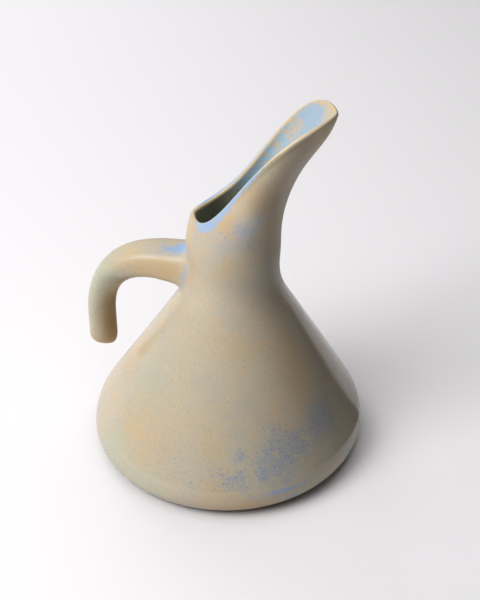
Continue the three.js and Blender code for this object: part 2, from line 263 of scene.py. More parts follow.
# %% [markdown]
# Body cone
#
# The belly, the soft shoulder and the straight cone are one wall. The belly needs close rings for an
# even highlight, and the straight cone needs few. At the top the wall has a rebate on its inside, into
# which the collar's spigot drops.

# %% Body cone
FINE_STEP = 1.2 * MM
CONE_STEP = 4 * MM

cone_lap = lap_radius(CONE_TOP)
cone_profile = wall(BASE_TOP, BELLY_HEIGHT, FINE_STEP)
cone_profile += wall(BELLY_HEIGHT, CONE_START, FINE_STEP)[1:]
cone_profile += wall(CONE_START, CONE_TOP, CONE_STEP)[1:]
cone_profile += [(cone_lap, CONE_TOP), (cone_lap, CONE_TOP - LAP_DEPTH)]
cone_profile += wall(CONE_TOP - LAP_DEPTH, CONE_START, CONE_STEP, WALL)
cone_profile += wall(CONE_START, BELLY_HEIGHT, FINE_STEP, WALL)[1:]
cone_profile += [(body_radius(BASE_TOP, WALL), BASE_TOP)]
body_cone = turned_piece("body_cone_glazed", cone_profile)

# %% [markdown]
# Neck collar
#
# The collar carries the waist. Its outside takes up the cone's slope and turns upright. Its first ring
# has the place and the size of the cone's last outer one, so the joint can't be seen.

# %% Neck collar
WAIST_STEP = 1.5 * MM

neck_lap = lap_radius(NECK_TOP)
collar_profile = wall(CONE_TOP, NECK_TOP, WAIST_STEP)
collar_profile += [(neck_lap, NECK_TOP), (neck_lap, NECK_TOP - LAP_DEPTH)]
collar_profile += wall(NECK_TOP - LAP_DEPTH, CONE_TOP - LAP_DEPTH, WAIST_STEP, WALL)
collar_profile += [(cone_lap, CONE_TOP - LAP_DEPTH), (cone_lap, CONE_TOP)]
neck_collar = turned_piece("neck_collar_glazed", collar_profile)

# %% [markdown]
# Beak spout
#
# The spout starts as the collar's round top and ends in a long open beak. Its rim is a curve in space:
# from the side it climbs from the low back of the mouth to the tip, and from above it widens into the
# beak. No scaling or turning of a ring gives that, so only the topology comes from operators here: a
# tube of rings. Each point of the tube is then put on its upright line, which runs from the collar
# straight up and then bends out to the rim.

# %% The rim line
MOUTH_BACK_X = NECK_AXIS - 22.4 * MM
MOUTH_BACK_RISE = 16.5 * MM
MOUTH_BACK_RUN = 25 * MM
TIP_X = NECK_AXIS + 55.54 * MM
TIP_RISE = 88.73 * MM
TIP_RUN = 36.5 * MM
TIP_DIP = 3.3 * MM
MOUTH_HALF_WIDTH = 16.6 * MM
MOUTH_BACK_LENGTH = 16 * MM
BEAK_HALF_WIDTH = 22.4 * MM
BEAK_WIDEST = 31.6 * MM
FLARE_START = 3.1 * MM
END_FULLNESS = 0.75


def lerp(a, b, t):
    return a + (b - a) * t


def smoothstep(value, low, high):
    t = min(max((value - low) / (high - low), 0), 1)
    return t * t * (3 - 2 * t)


def rim_half_width(x):
    """Half the width of the mouth or the beak at a place along the spout."""
    forward = x - NECK_AXIS
    if forward > BEAK_WIDEST:
        past = (forward - BEAK_WIDEST) / (TIP_X - NECK_AXIS - BEAK_WIDEST)
        return BEAK_HALF_WIDTH * max(0.0, 1 - past * past) ** END_FULLNESS
    width = lerp(MOUTH_HALF_WIDTH, BEAK_HALF_WIDTH, smoothstep(forward, FLARE_START, BEAK_WIDEST))
    to_back = 1 - min((x - MOUTH_BACK_X) / MOUTH_BACK_LENGTH, 1)
    return width * max(0.0, 1 - to_back * to_back) ** END_FULLNESS


def rim_point(t):
    """A point of the rim's near half, from the back of the mouth (0) to the tip (1)."""
    back_z = NECK_TOP + MOUTH_BACK_RISE
    tip_z = NECK_TOP + TIP_RISE
    stops = ((MOUTH_BACK_X, back_z), (MOUTH_BACK_X + MOUTH_BACK_RUN, back_z),
             (TIP_X - TIP_RUN, tip_z - TIP_DIP), (TIP_X, tip_z))
    weights = ((1 - t) ** 3, 3 * t * (1 - t) ** 2, 3 * t * t * (1 - t), t ** 3)
    x = sum(w * stop[0] for w, stop in zip(weights, stops))
    z = sum(w * stop[1] for w, stop in zip(weights, stops))
    return Vector((x, rim_half_width(x), z))


print("the mouth is", round(2 * MOUTH_HALF_WIDTH / MM, 1), "mm wide, the beak",
      round(2 * BEAK_HALF_WIDTH / MM, 1))

# %% Points along the rim
RIM_SIDE_POINTS = 72
RIM_SAMPLES = 1200
SHORTEST_STEP = 1e-12  # keeps a step of no length from being divided by


def run_along(samples):
    """How far along a line of samples each of them lies."""
    run = [0.0]
    for a, b in zip(samples, samples[1:]):
        run.append(run[-1] + (b - a).length)
    return run


def point_along(samples, run, distance):
    """The point at a distance along a line of samples, and the number of the sample before it."""
    i = 0
    while i < len(run) - 2 and run[i + 1] < distance:
        i += 1
    part = (distance - run[i]) / max(run[i + 1] - run[i], SHORTEST_STEP)
    return samples[i].lerp(samples[i + 1], min(max(part, 0), 1)), i


rim_samples = [rim_point(i / RIM_SAMPLES) for i in range(RIM_SAMPLES + 1)]
rim_run = run_along(rim_samples)
rim_half = []
for k in range(RIM_SIDE_POINTS, -1, -1):
    point, _ = point_along(rim_samples, rim_run, rim_run[-1] * k / RIM_SIDE_POINTS)
    rim_half.append(point)
rim = rim_half + [Vector((p.x, -p.y, p.z)) for p in reversed(rim_half[1:-1])]
print("rim line of", len(rim), "points, tip at", [round(v / MM, 1) for v in rim[0]], "mm")

# %% [markdown]
# The spout's wall
#
# The wall is worked out as rows of points along its middle, from the collar up to just under the rim.
# Near the tip it swells below the rim like a chin. Each row is then moved outward and inward by half
# the clay's thickness, which thins towards the rim and most at the tip. A half circle rounds the edge.

# %% The middle of the spout's wall
SPOUT_ROWS = 36
RIM_THICKNESS = 3.2 * MM
TIP_THICKNESS = 2.2 * MM
UPRIGHT_SHARE = 0.5
FRONT_GATHER = 2.2
CHIN_DEPTH = 3 * MM
CHIN_START = 20 * MM
CHIN_GATHER = 4


def around(ring, k):
    """The direction along a ring at one of its points."""
    return (ring[(k + 1) % len(ring)] - ring[k - 1]).normalized()


def spout_foot(point, radius, z):
    """Where the wall under a rim point starts, on a circle about the neck's axis."""
    to_tip = max(0.0, TIP_X - point.x) / (TIP_X - MOUTH_BACK_X)
    forward = 1 - 2 * to_tip ** FRONT_GATHER
    sideways = math.copysign(math.sqrt(max(0.0, 1 - forward * forward)), point.y)
    return Vector((NECK_AXIS + radius * forward, radius * sideways, z))


def near_tip(point, start):
    """How near a rim point is to the tip: 0 behind the start, 1 at the tip."""
    return smoothstep(point.x - NECK_AXIS, start, TIP_X - NECK_AXIS)


def spout_line(k):
    """Foot, bend and end of the wall's upright line under a rim point."""
    top = rim[k]
    foot = spout_foot(top, NECK_RADIUS - WALL / 2, NECK_TOP)
    bend = Vector((foot.x, foot.y, lerp(NECK_TOP, top.z, UPRIGHT_SHARE)))
    along_rim = around(rim, k)
    upward = top - bend
    upward = (upward - along_rim * upward.dot(along_rim)).normalized()
    return foot, bend, top - upward * rim_thickness[k] / 2


rim_thickness = [lerp(RIM_THICKNESS, TIP_THICKNESS, near_tip(p, BEAK_WIDEST)) for p in rim]
spout_lines = [spout_line(k) for k in range(len(rim))]
middle_rows = []
for j in range(SPOUT_ROWS + 1):
    s = j / SPOUT_ROWS
    chin = CHIN_DEPTH * math.sin(math.pi * s ** CHIN_GATHER)
    row = [foot * (1 - s) ** 2 + bend * 2 * s * (1 - s) + end * s * s for foot, bend, end in spout_lines]
    swollen = []
    for k, (foot, bend, end) in enumerate(spout_lines):
        rising = (bend - foot) * (1 - s) + (end - bend) * s
        outward = around(row, k).cross(rising).normalized()
        swollen.append(row[k] + outward * chin * near_tip(rim[k], CHIN_START))
    middle_rows.append(swollen)
print("spout wall of", len(middle_rows), "rows")

# %% Beak spout
RIM_ARC_STEPS = 10


def climb(j, k):
    """The way up the wall at a point of a row, square to the row."""
    if j == 0:
        return Vector((0, 0, 1))
    step = middle_rows[min(j + 1, SPOUT_ROWS)][k] - middle_rows[j - 1][k]
    side = around(middle_rows[j], k)
    return (step - side * step.dot(side)).normalized()


outer_rows = []
inner_rows = []
for j, middle in enumerate(middle_rows):
    up = [climb(j, k) for k in range(len(rim))]
    outward = [around(middle, k).cross(up[k]).normalized() for k in range(len(rim))]
    half = [lerp(WALL, thickness, j / SPOUT_ROWS) / 2 for thickness in rim_thickness]
    outer_rows.append([p + n * h for p, n, h in zip(middle, outward, half)])
    inner_rows.insert(0, [p - n * h for p, n, h in zip(middle, outward, half)])
edge_rows = []
for i in range(1, RIM_ARC_STEPS):
    turn = math.pi * i / RIM_ARC_STEPS
    edge_rows.append([p + (n * math.cos(turn) + u * math.sin(turn)) * h
                      for p, n, u, h in zip(middle, outward, up, half)])
joint_rows = [[spout_foot(p, NECK_RADIUS - WALL, NECK_TOP - LAP_DEPTH) for p in rim],
              [spout_foot(p, neck_lap, NECK_TOP - LAP_DEPTH) for p in rim],
              [spout_foot(p, neck_lap, NECK_TOP) for p in rim]]
spout_rows = outer_rows + edge_rows + inner_rows + joint_rows


def loft(name, rows):
    """A tube through rows of points: extruded ring by ring, then put on its rows."""
    bpy.ops.object.select_all(action="DESELECT")
    bpy.ops.mesh.primitive_circle_add(vertices=len(rows[0]), radius=NECK_RADIUS, location=(0, 0, 0))
    piece = bpy.context.object
    piece.name = name
    bpy.ops.object.mode_set(mode="EDIT")
    bpy.ops.mesh.select_all(action="SELECT")
    for row in rows[1:]:
        bpy.ops.mesh.extrude_region_move(TRANSFORM_OT_translate={"value": (0, 0, MM)})
    bpy.ops.object.mode_set(mode="OBJECT")
    for j, row in enumerate(rows):
        for k, place in enumerate(row):
            piece.data.vertices[j * len(row) + k].co = place
    return piece


beak_spout = loft("beak_spout_glazed", spout_rows)
bpy.ops.object.mode_set(mode="EDIT")
bridge_open_ends()
finish_mesh(beak_spout)

# %% [markdown]
# The spout's own measures
#
# Glaze runs thin over an edge and thick below it, so the finish needs to know how far a point lies
# from the rim and on which side of the wall. Two named attributes on the mesh hold that. They are
# worked out from the rows, and they stay with the mesh wherever it goes.

# %% Attributes of the spout
inside = []
from_rim = []
top_row = spout_rows[len(outer_rows) + len(edge_rows) // 2]
for j, row in enumerate(spout_rows):
    inside += [smoothstep(j, len(outer_rows) - 1, len(outer_rows) + len(edge_rows))] * len(row)
    from_rim += [(p - q).length for p, q in zip(row, top_row)]
for label, values in (("inside", inside), ("from_rim", from_rim)):
    attribute = beak_spout.data.attributes.new(label, "FLOAT", "POINT")
    attribute.data.foreach_set("value", values)
print("spout attributes on", len(inside), "points, farthest from the rim", round(max(from_rim) / MM), "mm")

# %% [markdown]
# Hook handle
#
# The handle is a pulled strap. It leaves the collar level, bends down and ends free. Its section is a
# rounded square at the root and, where fingers hook round it, an egg with its narrow side inward. No
# scaling of a ring makes an egg of a square, so the rings are worked out and lofted like the spout. At
# its root the strap spreads into a fillet, and Shrinkwrap lays that last stretch onto the collar, as
# fingers press the soft clay onto the neck.

# %% The handle's centre line
HANDLE_Z = NECK_TOP - 18.9 * MM
HANDLE_ROOT_X = NECK_AXIS - NECK_RADIUS
HANDLE_ARM = 8.6 * MM
BEND_LENGTH = 44.86 * MM
BEND_DROP = 45 * MM
BEND_FULLNESS = 2.5
HANDLE_TAIL = 13.6 * MM
ROOT_BURY = 12 * MM
LINE_SAMPLES = 600


def bend_point(t):
    """A point of the bend, from level (0) to straight down (1)."""
    turn = t * math.pi / 2
    power = 2 / BEND_FULLNESS
    x = HANDLE_ROOT_X - HANDLE_ARM - BEND_LENGTH * math.sin(turn) ** power
    return Vector((x, 0, HANDLE_Z - BEND_DROP * (1 - max(0.0, math.cos(turn)) ** power)))


handle_samples = [Vector((HANDLE_ROOT_X, 0, HANDLE_Z))]
handle_samples += [bend_point(i / LINE_SAMPLES) for i in range(LINE_SAMPLES + 1)]
handle_samples.append(handle_samples[-1] - Vector((0, 0, HANDLE_TAIL)))
handle_run = run_along(handle_samples)
HANDLE_LENGTH = handle_run[-1]


def handle_at(distance):
    """Point and downward turn of the centre line at a distance from the collar."""
    point, i = point_along(handle_samples, handle_run, distance)
    step = handle_samples[i] - handle_samples[i + 1]
    return point, math.atan2(step.z, step.x)


print("handle centre line of", round(HANDLE_LENGTH / MM, 1), "mm")

# %% Hook handle
THICK_ROOT = 22.2 * MM
THICK_END = 16.2 * MM
WIDTH_ROOT = 27 * MM
WIDTH_END = 15.4 * MM
TAPER_SHARE = 0.7
ROOT_SQUARENESS = 3.3
END_SQUARENESS = 2.2
END_NARROWING = 0.32
FLARE_TALL = 4.8 * MM
FLARE_WIDE = 1.5 * MM
FLARE_LENGTH = 24 * MM
FLARE_DROP = 0.55
FLARE_GATHER = 3
HANDLE_SIDES = 64


def handle_section(distance):
    """Centre, turn, half thickness, half width and taper of the handle at a distance from the collar."""
    centre, turn = handle_at(distance)
    near = min(max(1 - distance / FLARE_LENGTH, 0), 1) ** FLARE_GATHER
    taper = min((distance + ROOT_BURY) / (HANDLE_LENGTH + ROOT_BURY) / TAPER_SHARE, 1)
    tall = FLARE_TALL * near
    half_thick = lerp(THICK_ROOT, THICK_END, taper) / 2 + tall
    half_width = lerp(WIDTH_ROOT, WIDTH_END, taper) / 2 + FLARE_WIDE * near
    return centre - Vector((0, 0, FLARE_DROP * tall)), turn, half_thick, half_width, taper


def handle_ring(centre, turn, half_thick, half_width, taper):
    """One ring: a rounded square at the root, an egg that is narrow on its inner side at the free end."""
    power = 2 / lerp(ROOT_SQUARENESS, END_SQUARENESS, taper)
    over = Vector((-math.sin(turn), 0, math.cos(turn)))
    ring = []
    for k in range(HANDLE_SIDES):
        angle = 2 * math.pi * (k + 0.5) / HANDLE_SIDES
        out = math.copysign(abs(math.cos(angle)) ** power, math.cos(angle))
        side = math.copysign(abs(math.sin(angle)) ** power, math.sin(angle))
        side *= 1 + END_NARROWING * taper ** 2 * out
        ring.append(centre + over * half_thick * out + Vector((0, half_width * side, 0)))
    return ring


thickness = [round(size / MM, 1) for size in (THICK_ROOT, THICK_END)]
print("handle thickness at its root and its end:", thickness, "mm")

# %% Rings of the handle
FILLET_LENGTH = 6 * MM
FILLET_TOP = 1.5 * MM
FILLET_SIDE = 2.6 * MM
FILLET_BOTTOM = 5.0 * MM
ROOT_REACH = 4 * MM
SEAT_LENGTH = 11 * MM
SEAT_RINGS = 18
SEAT_GATHER = 1.6
SEAT_CLEAR = 7 * MM
BAR_STEP = 1.5 * MM
END_RINGS = 12
END_SKEW = 0.6


def fillet_share(distance):
    """How far a round fillet stands out at a distance from the collar, as a share of its height."""
    left = 1 - min(distance / FILLET_LENGTH, 1)
    return 1 - math.sqrt(1 - left * left)


handle_rings = []
root_weights = []

# The seat, which Shrinkwrap lays onto the collar
for j in range(SEAT_RINGS + 1):
    share = (j / SEAT_RINGS) ** SEAT_GATHER
    centre, turn, thick, width, taper = handle_section(ROOT_REACH + SEAT_LENGTH * share)
    lift = fillet_share(SEAT_LENGTH * share)
    centre.x = HANDLE_ROOT_X - lerp(SEAT_CLEAR, ROOT_REACH + SEAT_LENGTH, share)
    centre.z += (FILLET_TOP - FILLET_BOTTOM) / 2 * lift
    thick += (FILLET_TOP + FILLET_BOTTOM) / 2 * lift
    handle_rings.append(handle_ring(centre, turn, thick, width + FILLET_SIDE * lift, taper))
    root_weights.append(1 - share)

# The bar
for distance in heights(ROOT_REACH + SEAT_LENGTH, HANDLE_LENGTH, BAR_STEP)[1:]:
    handle_rings.append(handle_ring(*handle_section(distance)))

# The round free end, which leans to the inside of the hook
bar_end, end_turn, end_thick, end_width, end_taper = handle_section(HANDLE_LENGTH)
for i in range(1, END_RINGS + 1):
    angle = math.pi / 2 * i / END_RINGS
    shrink = math.cos(angle)
    centre = bar_end + Vector((END_SKEW * end_thick * (1 - shrink), 0, -end_thick * math.sin(angle)))
    handle_rings.append(handle_ring(centre, end_turn, end_thick * shrink, end_width * shrink, end_taper))
hook_handle = loft("hook_handle_glazed", handle_rings)
print("handle of", len(handle_rings), "rings")

# %% Root of the handle
ROOT_INTO_WALL = 1.5 * MM

root_group = hook_handle.vertex_groups.new(name="root")
for j, weight in enumerate(root_weights):
    root_group.add(range(j * HANDLE_SIDES, (j + 1) * HANDLE_SIDES), weight, "REPLACE")
seat = hook_handle.modifiers.new("seat", "SHRINKWRAP")
seat.target = neck_collar
seat.wrap_method = "PROJECT"
seat.use_project_x = True
seat.use_positive_direction = True
seat.vertex_group = "root"
bpy.ops.object.modifier_apply(modifier="seat")
for vertex in hook_handle.data.vertices:
    vertex.select = vertex.index < HANDLE_SIDES
bpy.ops.object.mode_set(mode="EDIT")
bpy.ops.mesh.extrude_region_move(TRANSFORM_OT_translate={"value": (ROOT_INTO_WALL, 0, 0)})
bpy.ops.mesh.edge_face_add()
finish_mesh(hook_handle)

# %% [markdown]
# Glaze: tools for its nodes
#
# The glaze is one recipe over the whole pitcher, so its colours have to run on from piece to piece.
# All pieces sit at the origin, and so Object coordinates are shared by all of them. Colours are
# written as they look on a screen, and turned into the linear values that the nodes use.

# %% Colours as seen
def seen(red, green, blue):
    """A linear colour from screen values of 0 to 255, with the numbers of the sRGB standard."""
    values = []
    for value in (red, green, blue):
        part = value / 255
        values.append(part / 12.92 if part <= 0.04045 else ((part + 0.055) / 1.055) ** 2.4)
    return (*values, 1.0)


print("a mid grey of 128 is", round(seen(128, 128, 128)[0], 3), "in linear light")

# %% Node helpers
# A Mix node's colour sockets share their names with its other sockets, so they go by number
MIX_SHARE = 0
MIX_FIRST = 6
MIX_SECOND = 7
MIX_RESULT = 2


class Recipe:
    """Short words for adding nodes to a node tree and joining them."""

    def __init__(self, tree):
        self.tree = tree

    def add(self, kind, settings=None, **inputs):
        """A node of a kind, with its settings and its inputs."""
        node = self.tree.nodes.new(kind)
        for name, value in (settings or {}).items():
            setattr(node, name, value)
        for name, value in inputs.items():
            self.put(node.inputs[name.replace("_", " ")], value)
        return node

    def put(self, socket, value):
        """Links a socket to another one, or sets its value."""
        if isinstance(value, bpy.types.NodeSocket):
            self.tree.links.new(value, socket)
        else:
            socket.default_value = value

    def put_all(self, sockets, values):
        """Fills sockets in their order."""
        for socket, value in zip(sockets, values):
            self.put(socket, value)

    def math(self, operation, *values):
        """What an operation makes of values."""
        node = self.add("ShaderNodeMath", {"operation": operation})
        self.put_all(node.inputs, values)
        return node.outputs[0]

    def times(self, first, *others):
        """The product of values."""
        for other in others:
            first = self.math("MULTIPLY", first, other)
        return first

    def shifted(self, value, noise, reach):
        """A value pushed up and down by a noise."""
        return self.math("MULTIPLY_ADD", noise, reach, value)

    def vector(self, operation, *values):
        """What an operation makes of vectors: a vector, or a number for a length."""
        node = self.add("ShaderNodeVectorMath", {"operation": operation})
        self.put_all(node.inputs, values)
        return node.outputs["Value" if operation == "LENGTH" else "Vector"]

    def blend(self, share, first, second):
        """The first colour where the share is 0, the second where it is 1."""
        node = self.add("ShaderNodeMix", {"data_type": "RGBA"})
        for i, value in ((MIX_SHARE, share), (MIX_FIRST, first), (MIX_SECOND, second)):
            self.put(node.inputs[i], value)
        return node.outputs[MIX_RESULT]

    def span(self, value, start, end, low=0.0, high=1.0):
        """A soft step from low to high while a value runs from start to end."""
        node = self.add("ShaderNodeMapRange", {"interpolation_type": "SMOOTHSTEP"})
        self.put_all(node.inputs, (value, start, end, low, high))
        return node.outputs[0]

    def span_mm(self, value, start, end, low=0.0, high=1.0):
        """A soft step between two places that are given in millimetres."""
        return self.span(value, start * MM, end * MM, low, high)

    def noise(self, place, scale, detail, rough):
        """A noise from 0 to 1. The named noises below give their scale, detail and roughness."""
        node = self.add("ShaderNodeTexNoise", Vector=place, Scale=scale, Detail=detail, Roughness=rough)
        return node.outputs["Fac"]

    def ripple(self, place, scale, detail, rough):
        """A noise about nought."""
        return self.math("SUBTRACT", self.noise(place, scale, detail, rough), 0.5)

    def object_place(self):
        """The place in the shared frame."""
        return self.add("ShaderNodeTexCoord").outputs["Object"]

    def axes(self, place):
        """The three parts of a place, by the names of its axes."""
        return self.add("ShaderNodeSeparateXYZ", Vector=place).outputs


def new_group(name, inputs, outputs):
    """A node group with named sockets, and its input and output nodes."""
    group = bpy.data.node_groups.new(name, "ShaderNodeTree")
    for socket, kind in inputs:
        group.interface.new_socket(socket, in_out="INPUT", socket_type="NodeSocket" + kind)
    for socket, kind in outputs:
        group.interface.new_socket(socket, in_out="OUTPUT", socket_type="NodeSocket" + kind)
    return group, group.nodes.new("NodeGroupInput"), group.nodes.new("NodeGroupOutput")


print("words of a recipe:", [word for word in vars(Recipe) if not word.startswith("_")])

# %% [markdown]
# Glaze: pools and specks
#
# Where the glaze lies thick it turns blue. One group makes such a pool: an egg-shaped region about a
# place, whose edge a fine noise eats into. Elsewhere the blue comes up as round specks. A Voronoi
# pattern scatters points through space, and a share of its cells gets a dot. That share is a density,
# so specks can be rare over the whole pitcher and crowd together in some places.

# %% Pool group
# Scale, detail and roughness of the noises that eat into a pool's edge
POOL_BITES = (150.0, 3.0, 0.6)
POOL_FRAYS = (700.0, 2.0, 0.6)
POOL_BITE_DEPTH = 1.5

pool_group, pool_in, pool_out = new_group(
    "glaze_pool",
    [("Centre", "Vector"), ("Size", "Vector"), ("Softness", "Float"), ("Ragged", "Float")],
    [("Mask", "Float")])
r = Recipe(pool_group)
place = r.object_place()
away = r.vector("SUBTRACT", place, pool_in.outputs["Centre"])
length = r.vector("LENGTH", r.vector("DIVIDE", away, pool_in.outputs["Size"]))
eaten = r.shifted(r.ripple(place, *POOL_FRAYS), r.ripple(place, *POOL_BITES), POOL_BITE_DEPTH)
edge = r.shifted(length, eaten, pool_in.outputs["Ragged"])
soft = pool_in.outputs["Softness"]
mask = r.span(edge, r.math("ADD", 1.0, soft), r.math("SUBTRACT", 1.0, soft))
r.put(pool_out.inputs["Mask"], mask)


def pool(recipe, centre, size, softness, ragged, strength):
    """The mask of a pool at a place, with its size each way, both in millimetres."""
    node = recipe.add("ShaderNodeGroup", {"node_tree": pool_group}, Softness=softness, Ragged=ragged)
    node.inputs["Centre"].default_value = [v * MM for v in centre]
    node.inputs["Size"].default_value = [v * MM for v in size]
    return recipe.times(node.outputs["Mask"], strength)


def any_of(recipe, pools):
    """One mask that is high wherever one of the pools lies."""
    whole = 0.0
    for settings in pools:
        whole = recipe.math("MAXIMUM", pool(recipe, *settings), whole)
    return whole


print("pool group with", len(pool_group.nodes), "nodes")

# %% Specks
SPECK_CORE = 0.45  # the share of a speck's radius that has its full colour
SPECK_SHRINK_LEAST = 0.7
SPECK_SHRINK_SPREAD = 0.8


def specks(recipe, place, scale, radius, density):
    """Round dots in a share of the cells of a Voronoi pattern, some smaller than others."""
    cells = recipe.add("ShaderNodeTexVoronoi", Vector=place, Scale=scale)
    luck = recipe.add("ShaderNodeSeparateColor", Color=cells.outputs["Color"])
    chosen = recipe.math("LESS_THAN", luck.outputs[0], density)
    shrink = recipe.math("MULTIPLY_ADD", luck.outputs[1], SPECK_SHRINK_SPREAD, SPECK_SHRINK_LEAST)
    gap = recipe.times(cells.outputs["Distance"], shrink)
    return recipe.times(recipe.span(gap, radius, radius * SPECK_CORE), chosen)


print("the solid core of a speck is", SPECK_CORE, "of its radius")

# %% [markdown]
# Glaze: where its colours gather
#
# The glaze drifts between khaki, ochre and sage, and the drifts of a kiln are not regular. The ones that
# catch the eye are placed one by one: an ochre patch under the rim, sage low on the left and on the handle,
# a slate haze on the neck, blue pools at the handle's root and the foot, and fields of blue specks low on
# the right. Brown is laid inside the hook, under the handle's arm and under the beak as painted shade,
# where those parts fall into shadow. These places could be painted onto the mesh instead, but as numbers
# they are easy to move, and they stay sharp on a coarse mesh.

# %% Colours of the glaze
KHAKI = seen(200, 187, 161)
OCHRE = seen(211, 178, 126)
SAGE = seen(186, 191, 166)
SLATE = seen(152, 163, 174)
BLUE = seen(146, 176, 216)
TEAL_SPECK = seen(152, 170, 172)
SPECK_BLUE = seen(124, 150, 188)
ORANGE = seen(214, 178, 136)
# The brown of painted shade, for where the hook and the beak turn into shadow
SHADE_BROWN = seen(134, 104, 68)
RUST = seen(160, 108, 62)
print("khaki in linear light:", [round(v, 3) for v in KHAKI[:3]])

# %% Places of the glaze's colours
# Each place: its middle and its size each way in millimetres, a softness, a raggedness and a strength
OCHRE_PATCHES = (
    ((6.5, -22, 162), (5.5, 7, 7.5), 0.6, 1.5, 0.9),
    ((-40, -13, 120), (26, 7, 9), 0.7, 0.7, 0.9),
    ((-50, 0, 127), (24, 12, 8), 0.8, 0.7, 0.2),
    ((-30, -60, 38), (14, 12, 24), 0.9, 0.6, 0.35),
    ((-51, -11, 60), (8, 14, 24), 0.8, 0.5, 0.6),
    ((46, -24, 70), (12, 10, 30), 0.9, 0.5, 0.6),
    ((30, -73, 8), (30, 12, 4), 0.8, 0.9, 0.8),
    ((-68, -2, 70), (7, 12, 26), 0.8, 0.6, 0.7),
    ((20, -20, 184), (9, 10, 14), 0.8, 0.6, 0.5),
    ((-74, -6, 53), (10, 10, 9), 0.8, 0.7, 0.8),
    ((-14, -14, 140), (8, 10, 26), 0.9, 0.6, 0.45),
)
SAGE_PATCHES = (
    ((-53, -56, 18), (14, 16, 12), 0.8, 0.6, 0.8),
    ((-33, -71.5, 15), (17, 10, 8), 0.8, 0.6, 0.8),
    ((-71, -9, 98), (10, 8, 26), 0.8, 0.6, 0.95),
    ((-34, -36, 65), (14, 14, 22), 0.9, 0.6, 0.5),
)
SLATE_PATCHES = (
    ((15.5, -23, 162), (8, 8, 4.5), 0.7, 1.6, 0.35),
    ((19, -21, 155), (11, 9, 6), 0.9, 1.2, 0.35),
    ((62, -25, 45), (10, 14, 17), 0.9, 0.6, 0.55),
    ((44, -57, 32), (17, 15, 14), 0.9, 0.8, 0.35),
)
BLUE_POOLS = (
    ((-25, -0.5, 131), (5, 8, 4), 0.5, 1.8, 1.0),
    ((-29, -4, 130), (6, 3.6, 3.5), 0.6, 2.2, 1.0),
    ((-35, -3, 129.5), (8, 5, 3.5), 0.9, 2.6, 0.35),
    ((-19.4, -13.6, 122), (1.3, 4, 5), 0.6, 0.9, 0.5),
    ((-21.6, -13.8, 115.5), (1.5, 4, 5), 0.6, 0.9, 0.6),
    ((-15.2, -17, 136.5), (2.4, 2.4, 8), 0.8, 1.2, 0.3),
    ((-11.6, -18, 149), (3, 3, 7), 0.9, 1.4, 0.3),
    ((17, -23, 162), (6.5, 8, 4.5), 0.7, 1.6, 0.33),
    ((23.5, -20, 166.5), (7, 8, 5), 0.8, 1.4, 0.33),
    ((6, -24, 153), (9, 8, 6), 0.9, 1.6, 0.18),
    ((77.8, -20.8, 14), (2.2, 2.8, 4.5), 0.3, 0.8, 0.7),
    ((50, -62.5, 16.2), (13, 10, 1.4), 0.5, 1.5, 0.8),
    ((55, -60, 9.5), (7, 7, 1.8), 0.5, 1.2, 0.6),
)
SPECK_FIELDS = (
    ((50, -48, 38), (11, 11, 10), 0.6, 2.4, 0.9),
    ((42, -60, 30), (11, 8, 8), 0.6, 2.4, 0.75),
    ((22, -72, 25), (8, 5.5, 6.5), 0.6, 2.4, 0.9),
    ((25, -64.5, 38), (3, 4, 3), 0.6, 2.0, 0.9),
    ((62, -28, 41), (8, 9, 9), 0.9, 0.8, 0.6),
    ((-5, -72, 28), (16, 9, 9), 0.9, 0.8, 0.14),
    ((18, -22, 157), (15, 8, 6), 0.9, 0.8, 0.12),
)
# Painted shade: brown inside the hook, under the handle's arm and under the beak, where shade falls
PAINTED_SHADE_PATCHES = (
    ((-65.5, -5, 74), (8.5, 15, 22), 0.6, 0.3, 0.85),
    ((-58, 0, 104), (12, 14, 5), 0.8, 0.3, 0.6),
    ((26, -18, 180), (7, 8, 12), 0.9, 0.4, 0.25),
)
TEAL_FIELDS = (
    ((-34, -38, 64), (20, 18, 26), 0.9, 0.5, 0.6),
    ((-12, -28, 104), (16, 14, 18), 0.9, 0.5, 0.45),
    ((-60, -9, 105), (18, 6, 26), 0.9, 0.5, 0.6),
)
gatherings = (OCHRE_PATCHES, SAGE_PATCHES, SLATE_PATCHES, BLUE_POOLS, SPECK_FIELDS, PAINTED_SHADE_PATCHES,
              TEAL_FIELDS)
print("places of colour:", sum(len(places) for places in gatherings))

# %% [markdown]
# Glaze: the recipe
#
# The ground drifts slowly between its colours, and the patches lie on it. Over both goes a grain of about
# half a millimetre, orange and teal, which makes the glaze look soft from afar. Then come the specks, the
# pools and a few rusty pinholes. The neck and the handle are duller than the cone. The height makes a
# fine orange peel and a faint swell. A picture of a glaze could be wrapped round the pitcher, but it
# would stretch on the spout and end in a seam. Noise in space does neither.

# %% Ground and grain of the glaze
# Drifts: scale, detail and roughness of a noise, where it starts and ends, strength and colour
DRIFTS = (
    (17.0, 3.0, 0.55, 0.50, 0.75, 0.60, SAGE),
    (44.0, 4.0, 0.60, 0.40, 0.80, 0.35, SLATE),
    (36.0, 4.0, 0.60, 0.46, 0.74, 0.60, OCHRE),
)
# Grains: scale of a noise, where it starts and ends, and colour
GRAINS = (
    (1500.0, 0.46, 0.66, TEAL_SPECK),
    (1245.0, 0.47, 0.66, ORANGE),
)
GRAIN_STRENGTH = 0.5

